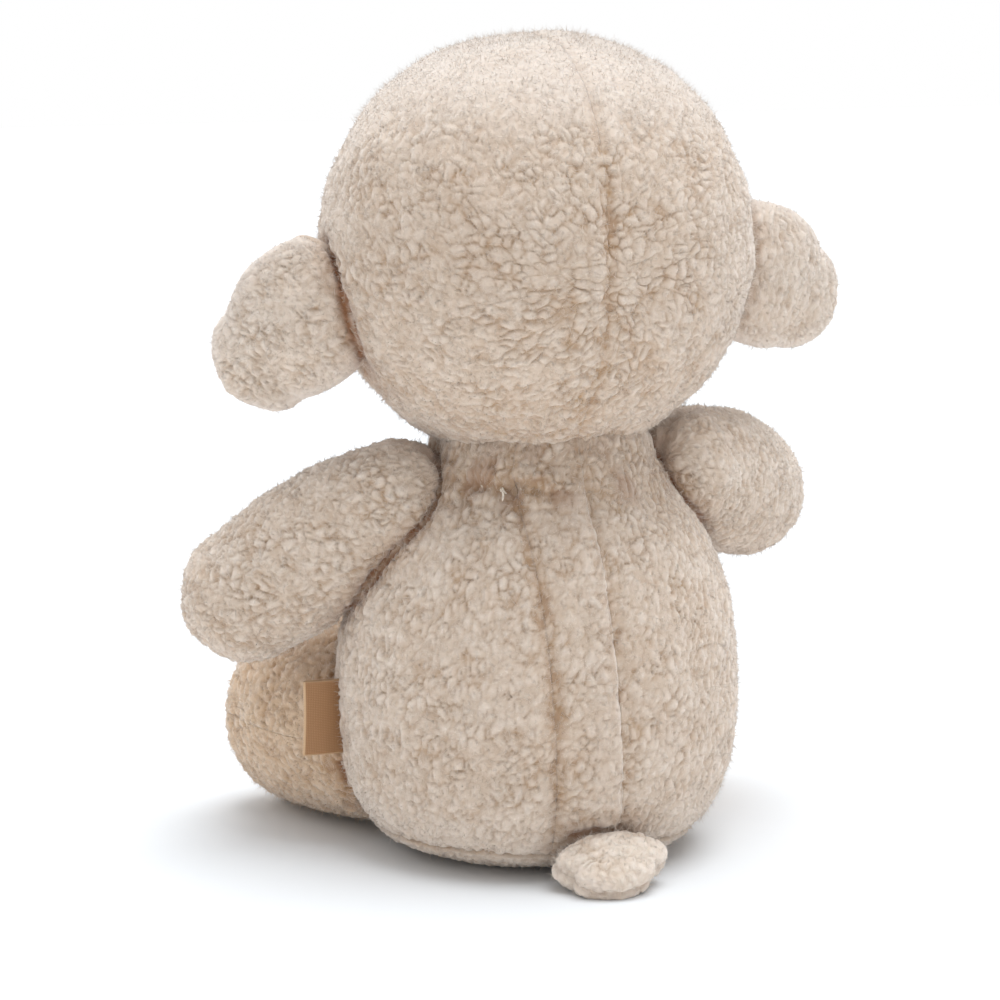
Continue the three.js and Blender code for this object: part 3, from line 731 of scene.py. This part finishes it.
FLEECE, PALE, BOUNCE_WARMED, SMOOTH = (plush_material(name) for name in PALETTES)
THREAD_SHADES = (0.8, 1.15)  # of a thread's colour, at its darkest and lightest
THREAD_BUMP = 0.1


def thread_material(name, colour, size):
    material, tree, shader = nodes_of(name)
    dark, light = (tuple(c * shade for c in linear(*colour)) for shade in THREAD_SHADES)
    tone = ramp(tree, noise(tree, size), [(0.3, dark), (0.7, light)])
    fill(shader, Base_Color=tone, Roughness=0.6, Sheen_Weight=0.3)
    bump(tree, shader, noise(tree, size / 2), THREAD_BUMP)
    return material


DARK_THREAD = thread_material("dark_thread", (74, 58, 47), 0.8)
PALE_THREAD = thread_material("pale_thread", (228, 219, 206), 0.8)
WADDING = thread_material("wadding", (236, 233, 228), 4)
CALICO = thread_material("calico", (224, 214, 196), 2)
RIBBON_DARK, RIBBON_LIGHT, RIBBON_EDGE = linear(156, 114, 77), linear(180, 139, 100), linear(204, 170, 134)
RIBBON_WEAVE, RIBBON_WAVER, RIBBON_BUMP = 0.5, 0.6, 0.08


def ribbon_material():
    """A fine woven ribbon with paler edges."""
    material, tree, shader = nodes_of("ribbon")
    place = add(tree, "TexCoord").outputs["Object"]
    weave = add(tree, "Math", operation="MULTIPLY")
    for direction, socket in zip(("X", "Z"), weave.inputs):
        wave = add(tree, "TexWave", bands_direction=direction)
        fill(wave, Vector=place, Scale=0.3 / (RIBBON_WEAVE * MM), Distortion=RIBBON_WAVER)
        tree.links.new(wave.outputs["Fac"], socket)
    tone = ramp(tree, weave.outputs[0], [(0.0, RIBBON_DARK), (0.7, RIBBON_LIGHT)])
    tone = mixed_colour(tree, value_of(tree, "pale"), tone, RIBBON_EDGE)
    fill(shader, Base_Color=tone, Roughness=0.55, Sheen_Weight=0.2)
    bump(tree, shader, weave.outputs[0], RIBBON_BUMP)
    return material


RIBBON = ribbon_material()

# The body

TORSO = torso_rings()
HEAD = Head()


def aimed(level, drop):
    """A level way, turned down by some degrees."""
    return unit(level) * cos(radians(drop)) - UP * sin(radians(drop))


def limb(joint, size, drop=0):
    """A limb that runs straight out from its level hinge line, and down."""
    return limb_rings(joint, aimed(np.cross(UP, hinge(joint)), drop), size)


def ear(name, side):
    forward, drop = EAR_AIM[name]
    ahead = radians(forward)
    level = np.array([side * cos(ahead), -sin(ahead), 0])
    return limb_rings(f"{name}_ear_flap", aimed(level, drop), EAR)


SIDES = (("left", 1), ("right", -1))
ARMS = {name: limb(f"{name}_shoulder", ARM, ARM_DROP[name]) for name, _ in SIDES}
LEGS = {name: limb(f"{name}_hip", LEG) for name, _ in SIDES}
EARS = {name: ear(name, side) for name, side in SIDES}
TAIL_FORM = limb("tail_root", TAIL, TAIL_DROP)


def seam_x(z, at):
    """Where a leaning seam of the back strip is at a height."""
    lean = radians(STRIP_LEAN)
    return at / cos(lean) + z * tan(lean)


def strip_side(at):
    """The angle of one seam of the back strip, for a share of the way up the torso."""
    def turn(share):
        z, wide = TORSO.ring(share)[:2]
        x = seam_x(np.minimum(z, SHOULDER_HEIGHT), at)
        return np.arccos(np.clip(x / np.maximum(wide, NECK_RADIUS), -1, 1))

    return turn


# The back's relief: where each part of it starts and ends, or half its width
BACK_START = (0, 20)  # along y
SEAMS_SHOW = (6, 22, 112, 120)  # in height
RIDGE_RISE, RIDGE_END, VALLEY = (-0.8, 1.8), (4.5, 11), (-8, -0.5, -0.5, 1.5)  # beside the right seam
GROOVE_HALF, SLIT_HALF, ROLL_HALF, NECK_HALF = 2.6, 2, 3, 9
SLIT_SHOWS, SLIT_OPEN = (3, 10, 34, 46), (5, 10, 18, 40)  # along x
ROLL_RISE, SHADE_RISE = 4.5, 3  # above the slit
SEAT_LIGHT_HEIGHTS = (8, 34)  # heights between which the painted light low on the seat ends
RIDGE_SWAY, SLIT_WAVER = 2.4, 5
SWAY_SIZE, PUCKER_SIZE, WAVER_SIZE, FOLD_SIZE, SHADE_PATCH_SIZE = 7, 4.5, 9, 4.2, 7
FOLD_SLANT, FOLD_STRETCH = 0.5, 0.3
SHADE_PATCHES = (0.45, 0.7)
BACK_LIFT = dict(ridge=1.1, valley=-0.7, groove=-1.2, slit=-1.6, roll=0.7, folds=3.4)
# painted shade in the groove, the slit and under the head, and painted light low on the seat, as parts of
# the tone
BACK_SHADE_AND_LIGHT = dict(shade=0.22, slit=0.3, groove=0.22, seat_light=-0.3)
RIDGE_FLAT, SHADE_BROWN_SHARE = 0.1, 0.5


def window(edges, value):
    """1 between two soft edges, 0 outside them."""
    return smoothstep(*edges[:2], value) * (1 - smoothstep(*edges[2:], value))


def level_noise(x, z, size, seed):
    return smooth_noise(np.stack([x, 0 * x, z], axis=-1), size, seed)


def back_shape(base):
    """The groove and the ridge along the strip's seams and the closed slit at the neck, with painted shade
    in the groove, the slit and under the head, and painted light low on the seat.
    """
    x, z = base[..., 0], base[..., 2]
    up = z - SLIT_HEIGHT
    back = smoothstep(*BACK_START, base[..., 1])
    reach = window(SEAMS_SHOW, z) * back
    sway = RIDGE_SWAY * (level_noise(0 * x, z, SWAY_SIZE, 97) - 0.5)
    into = x - seam_x(z, STRIP_RIGHT)
    pucker = 0.5 + level_noise(0 * x, z, PUCKER_SIZE, 91)
    along = window(SLIT_SHOWS, x) * back
    waver = SLIT_WAVER * (level_noise(x, 0 * z, WAVER_SIZE, 93) - 0.5)
    folds = level_noise(x + FOLD_SLANT * up, FOLD_STRETCH * z, FOLD_SIZE, 95) - 0.5
    part = {
        "ridge": smoothstep(*RIDGE_RISE, into - sway) * (1 - smoothstep(*RIDGE_END, into + sway)) * reach,
        "valley": window(VALLEY, into) * reach,
        "groove": hump(x - seam_x(z, STRIP_LEFT), GROOVE_HALF) * pucker * reach,
        "slit": hump(up - waver, SLIT_HALF) * along * (0.3 + 0.7 * window(SLIT_OPEN, x)),
        "roll": hump(up - ROLL_RISE, ROLL_HALF) * along,
        "folds": hump(up, NECK_HALF) * along * folds,
        "shade": hump(up - SHADE_RISE, NECK_HALF) * back,
        # painted light: the pile low on the seat is painted paler
        "seat_light": 1 - smoothstep(*SEAT_LIGHT_HEIGHTS, z),
    }
    # patches of painted brown shade in the slit and under the head
    shade_patches = smoothstep(*SHADE_PATCHES, smooth_noise(base, SHADE_PATCH_SIZE, 99))
    spot = {
        "lift": sum(share * part[name] for name, share in BACK_LIFT.items()),
        "flat": RIDGE_FLAT * part["ridge"],
        "tone": sum(share * part[name] for name, share in BACK_SHADE_AND_LIGHT.items()),
        "brown_shade": SHADE_BROWN_SHARE * np.maximum(part["slit"], part["shade"] * back) * shade_patches,
    }
    return creased(spot, base, [*ARMS.values(), *LEGS.values(), TAIL_FORM])


CREASE_HALF, BESIDE_HALF, CREASE_WAVER = 1.6, 5, 1.6
# painted shade beside a crease, and painted brown shade in and beside it
CREASE_DEPTH, BESIDE_SHADE, BESIDE_SHADE_BROWN = 1.1, 0.3, 0.38
WAVER_NOISE, PATCH_NOISE = (6, 77), (4, 79)  # size and seed
PATCHES = (0.3, 0.6)


def creased(spot, base, forms):
    """A look whose pile is drawn in where other forms are sewn to it, with painted brown shade in the crease
    and painted shade and brown beside it.
    """
    waver = CREASE_WAVER * (smooth_noise(base, *WAVER_NOISE) - 0.5)
    away = [form.outside(base) + waver for form in forms]
    line, beside = (np.max([hump(far, half) for far in away], axis=0) for half in (CREASE_HALF, BESIDE_HALF))
    rough = 0.45 + 0.55 * smoothstep(*PATCHES, smooth_noise(base, *PATCH_NOISE))
    return {
        "lift": spot["lift"] - CREASE_DEPTH * line,
        "flat": spot["flat"] * (1 - line),
        "tone": spot["tone"] + BESIDE_SHADE * beside,
        "brown_shade": np.maximum(spot["brown_shade"], np.maximum(line, BESIDE_SHADE_BROWN * beside) * rough),
    }


CHIN, CROWN = (-25, -52), (30, 58)  # above the middle of the head
# painted shade under the head and painted light on the crown, whose pile is also flattened to the pale
# colour of flattened pile
HEAD_TONE, CHIN_SHADE, CROWN_LIGHT, CROWN_FLAT = 0.07, 0.2, -0.25, 0.4


def head_shape(base):
    """The creases beside the ears, the crown's pile flattened and painted light, and painted shade under the
    head.
    """
    spot = plain_shape(base)
    above = base[..., 2] - HEAD.origin[2]
    crown = smoothstep(*CROWN, above)
    spot["tone"] = HEAD_TONE + CHIN_SHADE * smoothstep(*CHIN, above) + CROWN_LIGHT * crown
    spot["flat"] = CROWN_FLAT * crown
    return creased(spot, base, EARS.values())


def sewn_to(form):
    """The look of a limb or an ear that is sewn to a larger form."""
    return lambda base: creased(plain_shape(base), base, [form])


def make_torso():
    low = TORSO.share_at(BASE_SEAM)
    side = asin(SIDE_SEAM / (TORSO_HALF_DEPTH * TORSO_PROFILE_SHARES[9][1]))
    left, right = strip_side(STRIP_LEFT), strip_side(STRIP_RIGHT)
    panels = {
        "torso_back_left_panel": (side, left),
        "torso_back_strip": (left, right),
        "torso_back_right_panel": (right, pi - side),
        "torso_front_panel": (pi - side, 2 * pi + side),
    }
    look = dict(shape=back_shape, seed=11, **TORSO_LOOK)
    for name, turns in panels.items():
        fleece_panel(name, Panel(TORSO, turns, (low, 1)), "torso", FLEECE, **look)
    base = Panel(TORSO, (0, 2 * pi), (0, low), spacing=BASE_SPACING)
    fleece_panel("torso_base_panel", base, "torso", FLEECE, seed=16, **BASE_LOOK)


def make_head():
    seam = HEAD.share_at_depth(HEAD.origin[1] - FACE_SEAM)
    quarter = pi / 2
    halves = {"head_left_panel": (quarter, -quarter), "head_right_panel": (3 * quarter, quarter)}
    for name, turns in halves.items():
        panel = Panel(HEAD, turns, (0, seam), dense=HEAD_DENSE_SHARE)
        look = dict(shape=head_shape, seed=21, **HEAD_LOOK)
        fleece_panel(name, panel, "head", FLEECE, **look)
    smooth_panel("face_panel", Panel(HEAD, (2 * pi, 0), (seam, 1)), "head", 31)


def smooth_panel(node, panel, body, seed):
    """A panel of short smooth pile."""
    fleece_panel(node, panel, body, SMOOTH, "smooth_plush", f"{node}_plush", seed=seed, **SMOOTH_LOOK)


def make_limb(form, body, parts, seed, material, **look):
    """Two panels along a limb, between the quarter turns that the parts name."""
    for node, turns in parts.items():
        panel = Panel(form, tuple(pi / 2 * turn for turn in turns), (0, 1))
        if "lining" in node:
            smooth_panel(node, panel, body, seed)
        else:
            fleece_panel(node, panel, body, material, seed=seed, **look)


def make_arms():
    for (name, side), seed in zip(SIDES, (41, 43)):
        back, front = ((1, 3), (-1, 1))[::side]
        parts = {f"{name}_arm_back_panel": back, f"{name}_arm_front_panel": front}
        make_limb(ARMS[name], f"{name}_arm", parts, seed, FLEECE, shape=sewn_to(TORSO), **ARM_LOOK)


def make_legs():
    for (name, _), seed in zip(SIDES, (51, 55)):
        form, body = LEGS[name], f"{name}_leg"
        seam = form.share_at(LEG["length"] + LEG["round"] - SOLE_INSET)
        for word, turns in (("upper", (pi, 2 * pi)), ("lower", (0, pi))):
            look = dict(name=f"{body}_{word}_fleece", seed=seed, shape=sewn_to(TORSO), **LEG_LOOK)
            fleece_panel(f"{body}_{word}_panel", Panel(form, turns, (0, seam)), body, BOUNCE_WARMED, **look)
        smooth_panel(f"{name}_sole", Panel(form, (0, 2 * pi), (seam, 1)), body, seed)


def make_ears():
    for (name, _), seed in zip(SIDES, (61, 63)):
        parts = {f"{name}_ear_back": (2, 4), f"{name}_ear_lining": (0, 2)}
        make_limb(EARS[name], f"{name}_ear", parts, seed, FLEECE, shape=sewn_to(HEAD), **EAR_LOOK)


def make_tail():
    parts = {"tail_upper": (2, 4), "tail_lower": (0, 2)}
    make_limb(TAIL_FORM, "tail", parts, 71, PALE, shape=sewn_to(TORSO), **TAIL_LOOK)


# Thread and ribbon

SOME_WAY = np.array([0.31, 0.47, 0.83])  # along no thread


def round_body(ring):
    """A closed body through rings of points, as its points, faces and end caps."""
    rows, sides = ring.shape[:2]
    ids = np.arange(rows * sides).reshape(rows, sides)
    return ring.reshape(-1, 3), quads_of(np.hstack([ids, ids[:, :1]]), False), [ids[0][::-1], ids[-1]]


def tube(points, radius, sides=8):
    """A closed round thread through some points, thinner at its ends."""
    points = np.asarray(points, float)
    ahead = unit(np.gradient(points, axis=0))
    side = unit(np.cross(ahead, SOME_WAY))
    over = np.cross(ahead, side)
    turn = np.linspace(0, 2 * pi, sides, endpoint=False)[:, None]
    full = np.sqrt(np.clip(1 - np.linspace(-1, 1, len(points)) ** 8, 0.05, 1))[:, None, None]
    ring = side[:, None] * np.cos(turn) + over[:, None] * np.sin(turn)
    return round_body(points[:, None] + radius * full * ring)


def mound(place, side, over, way, rows=14, sides=24):
    """A closed rounded body about a place, from its three half sizes as vectors."""
    polar = np.linspace(0.08, pi - 0.08, rows)[:, None, None]
    turn = np.linspace(0, 2 * pi, sides, endpoint=False)[None, :, None]
    out = over * np.cos(turn) + way * np.sin(turn)
    return round_body(place - side * np.cos(polar) + out * np.sin(polar))


def sewn_piece(name, bodies, material, slot, node, body="torso", **values):
    """One piece from several closed bodies."""
    points, quads, caps = zip(*bodies)
    starts = np.cumsum([0, *map(len, points)])
    quads = np.vstack([part + first for part, first in zip(quads, starts)])
    caps = [[v + first for v in cap] for part, first in zip(caps, starts) for cap in part]
    mesh = mesh_from(name, np.vstack(points), quads, caps, np.zeros((0, 3), int), values)
    return piece(name, mesh, material, body, node)


def on_face(out, rise):
    """A point on the face, and the way out of it."""
    turn, lift = radians(out), radians(rise)
    way = np.array([sin(turn) * cos(lift), -cos(turn) * cos(lift), sin(lift)])
    return HEAD.origin + HEAD.out(way), way


def satin_pad(name, out, rise, wide, tall, high):
    """Close upright stitches over a small mound on the face."""
    place, way = on_face(out, rise)
    side = unit(np.cross(UP, way))
    over = np.cross(way, side)
    rows = round(wide / THREAD)
    t = np.sin(np.linspace(-1, 1, 15) * pi / 2)
    threads = []
    for s in (np.arange(rows) + 0.5) / rows * 2 - 1:
        reach = sqrt(1 - s * s)
        height = high * reach * np.sqrt(1 - t * t) - SATIN_SUNK
        line = place + side * s * wide + over * (t * tall * reach)[:, None] + way * height[:, None]
        threads.append(tube(line, THREAD * SATIN_OVERLAP_SHARE))
    core = (half * share for half, share in zip((side * wide, over * tall, way * high), SATIN_CORE_SHARES))
    threads.append(mound(place, *core))
    sewn_piece(f"{name}_stitches", threads, DARK_THREAD, "dark_thread", name, "head")


def make_mouth():
    """A row of backstitches along the mouth."""
    threads = []
    for i in range(MOUTH_STITCHES):
        line = []
        for along, lift in MOUTH_STITCH:
            share = 2 * (i + along) / MOUTH_STITCHES - 1
            place, way = on_face(share * MOUTH_OUT, MOUTH_RISE + MOUTH_CURL * share**2)
            line.append(place + way * lift)
        threads.append(tube(spline(line, 12), MOUTH_RADIUS))
    sewn_piece("mouth_stitches", threads, DARK_THREAD, "dark_thread", "mouth_stitching", "head")


def on_slit(x, rise, out):
    """A point on the back beside the slit, moved up and out of the cloth."""
    z = SLIT_HEIGHT + rise
    wide, deep = TORSO.ring(TORSO.share_at(z))[1:3]
    y = deep * sqrt(max(1 - (x / wide) ** 2, 0))
    way = unit(np.array([x / wide**2, y / deep**2, 0]))
    return np.array([x, y, z]) + way * out


def make_closing_thread():
    """Short stitches sunk into the closed slit, with a loose end."""
    threads = []
    for i in range(STITCH_COUNT):
        x = STITCH_START - (i + 0.5) * STITCH_STEP
        line = [on_slit(x + aside, rise, out) for aside, rise, out in STITCH_LINE]
        threads.append(tube(spline(line, 12), STITCH_RADIUS))
    threads.append(tube(spline([on_slit(*place) for place in LOOSE_END], 16), LOOSE_RADIUS))
    sewn_piece("closing_stitches", threads, PALE_THREAD, "pale_thread", "closing_thread")


def label_path():
    """The middle of the folded ribbon, from one sewn end over the fold to the other."""
    turn = np.linspace(-pi / 2, pi / 2, 15)[1:-1]
    near = [(x, -LABEL_APART) for x in np.linspace(LABEL_ROOT, LABEL_FOLD, 24)]
    bend = [(LABEL_FOLD + LABEL_APART * cos(a), LABEL_APART * sin(a)) for a in turn]
    return np.array(near + bend + [(x, -y) for x, y in near[::-1]])


def make_label():
    """The ribbon, folded once, a little bowed and with a rounded fold."""
    path = label_path()
    v = np.linspace(-0.5, 0.5, 46)[None, :]
    x = path[:, :1] + 0 * v
    deep = LABEL_FOLD - LABEL_ROOT
    bow = LABEL_BOW * np.sin((v + 0.5) * pi) * (x - LABEL_ROOT) / deep
    parted = np.clip((x - LABEL_ROOT - LABEL_SEWN) / (deep - LABEL_SEWN), 0, 1)
    swell = 1 + LABEL_SWELL_SHARE * np.sin(pi * parted)
    y = SIDE_SEAM + bow + path[:, 1:] * swell
    middle = np.stack([x, y, LABEL_HEIGHT + v * LABEL_TALL + 0 * x], axis=-1)
    half = unit(np.cross(np.gradient(middle, axis=1), np.gradient(middle, axis=0))) * LABEL_CLOTH / 2
    out_ids = np.arange(x.size).reshape(x.shape)
    in_ids = out_ids + x.size
    rims = []
    for edge, flip in EDGES:
        rims += rim_faces(out_ids[edge], in_ids[edge], range(out_ids[edge].size), flip)
    quads = np.vstack([quads_of(out_ids, False), quads_of(in_ids, True)])
    body = (np.vstack([(middle + half).reshape(-1, 3), (middle - half).reshape(-1, 3)]), quads, rims)
    from_edge = np.minimum(LABEL_TALL * (0.5 - np.abs(v)) + 0 * x, LABEL_FOLD + LABEL_APART - x)
    pale = np.tile(1 - smoothstep(*LABEL_EDGE, from_edge).ravel(), 2)
    label = sewn_piece("side_label_ribbon", [body], RIBBON, "ribbon", "side_label", pale=pale)


def dress_nodes():
    """Materials for the plain nodes, by a word in their names."""
    looks = {"filling": WADDING, "wadding": WADDING, "bag": CALICO}
    for name, node in frame["nodes"].items():
        for word, material in looks.items():
            if word in name:
                node.data.materials.clear()
                node.data.materials.append(material)


# Camera, light and floor

CAMERA_TURNS = (159.216, 10.5, 0.992)  # azimuth, rise and roll in degrees
CAMERA_AWAY = 1212.372
TARGET = np.array([0, 0, 120.0])
TARGET_PIXEL = (540.8, 449.6)  # where the target falls in the picture
PIXELS_PER_MM = 3.367  # at the target
PICTURE = 1000  # pixels
SENSOR, CAMERA_REACH = 36, 20  # the latter in metres

AMBIENT = 0.55
LAMPS = {"overhead": ((-0.15, 0.05, 1), 50, 2.44), "rim": ((0.1, -0.8, 1), 100, 0.9)}  # way, width, strength
WHITE = 1.0  # strength of the background behind the floor
FLOOR, FLOOR_SEEN = (0.92, 0.91, 0.9), (0.79, 0.825, 0.86)  # as it lights things, and as the camera sees it
FLOOR_SIZE = 4  # metres


def make_camera():
    a, e, roll = (radians(turn) for turn in CAMERA_TURNS)
    back = np.array([cos(e) * sin(a), -cos(e) * cos(a), sin(e)])
    level = np.array([cos(a), sin(a), 0])
    rise = np.cross(back, level)
    right = cos(roll) * level + sin(roll) * rise
    up = cos(roll) * rise - sin(roll) * level
    place = TARGET + back * CAMERA_AWAY
    off_x = (PICTURE / 2 - TARGET_PIXEL[0]) / PIXELS_PER_MM
    off_y = (TARGET_PIXEL[1] - PICTURE / 2) / PIXELS_PER_MM
    back = unit(place - (TARGET + right * off_x + up * off_y))
    right = unit(right - back * np.dot(right, back))
    up = np.cross(back, right)
    matrix = np.eye(4)
    matrix[:3] = np.stack([right, up, back, place * MM], axis=1)
    data = bpy.data.cameras.new("camera")
    data.sensor_width = SENSOR
    data.lens = PIXELS_PER_MM * CAMERA_AWAY * SENSOR / PICTURE
    data.clip_end = CAMERA_REACH
    camera = placed("camera", data)
    camera.matrix_world = Matrix(matrix.tolist())
    bpy.context.scene.camera = camera


def make_light():
    world = bpy.data.worlds.new("studio")
    bpy.context.scene.world = world
    world.use_nodes = True
    tree = world.node_tree
    bright = add(tree, "MapRange")
    fill(bright, Value=add(tree, "LightPath").outputs["Is Camera Ray"], To_Min=AMBIENT, To_Max=WHITE)
    fill(tree.nodes["Background"], Color=(1, 1, 1), Strength=bright.outputs["Result"])
    for name, (place, angle, strength) in LAMPS.items():
        data = bpy.data.lights.new(name, "SUN")
        data.angle, data.energy = radians(angle), strength
        placed(name, data).rotation_euler = (-Vector(place)).to_track_quat("-Z", "Y").to_euler()


def make_floor():
    bpy.ops.mesh.primitive_plane_add(size=FLOOR_SIZE)
    floor = bpy.context.active_object
    floor.name = "floor"
    material, tree, shader = nodes_of("floor")
    path = add(tree, "LightPath")
    tone = mixed_colour(tree, path.outputs["Is Camera Ray"], FLOOR, FLOOR_SEEN)
    fill(shader, Base_Color=tone, Roughness=0.9, Specular_IOR_Level=0.0)
    floor.data.materials.append(material)


bpy.context.scene.view_settings.view_transform = "Standard"
make_camera()
make_light()
make_floor()
make_torso()
make_head()
make_arms()
make_legs()
make_ears()
make_tail()
satin_pad("left_eye", **EYE)
satin_pad("right_eye", **{**EYE, "out": -EYE["out"]})
satin_pad("nose", **NOSE)
make_mouth()
make_closing_thread()
make_label()
dress_nodes()
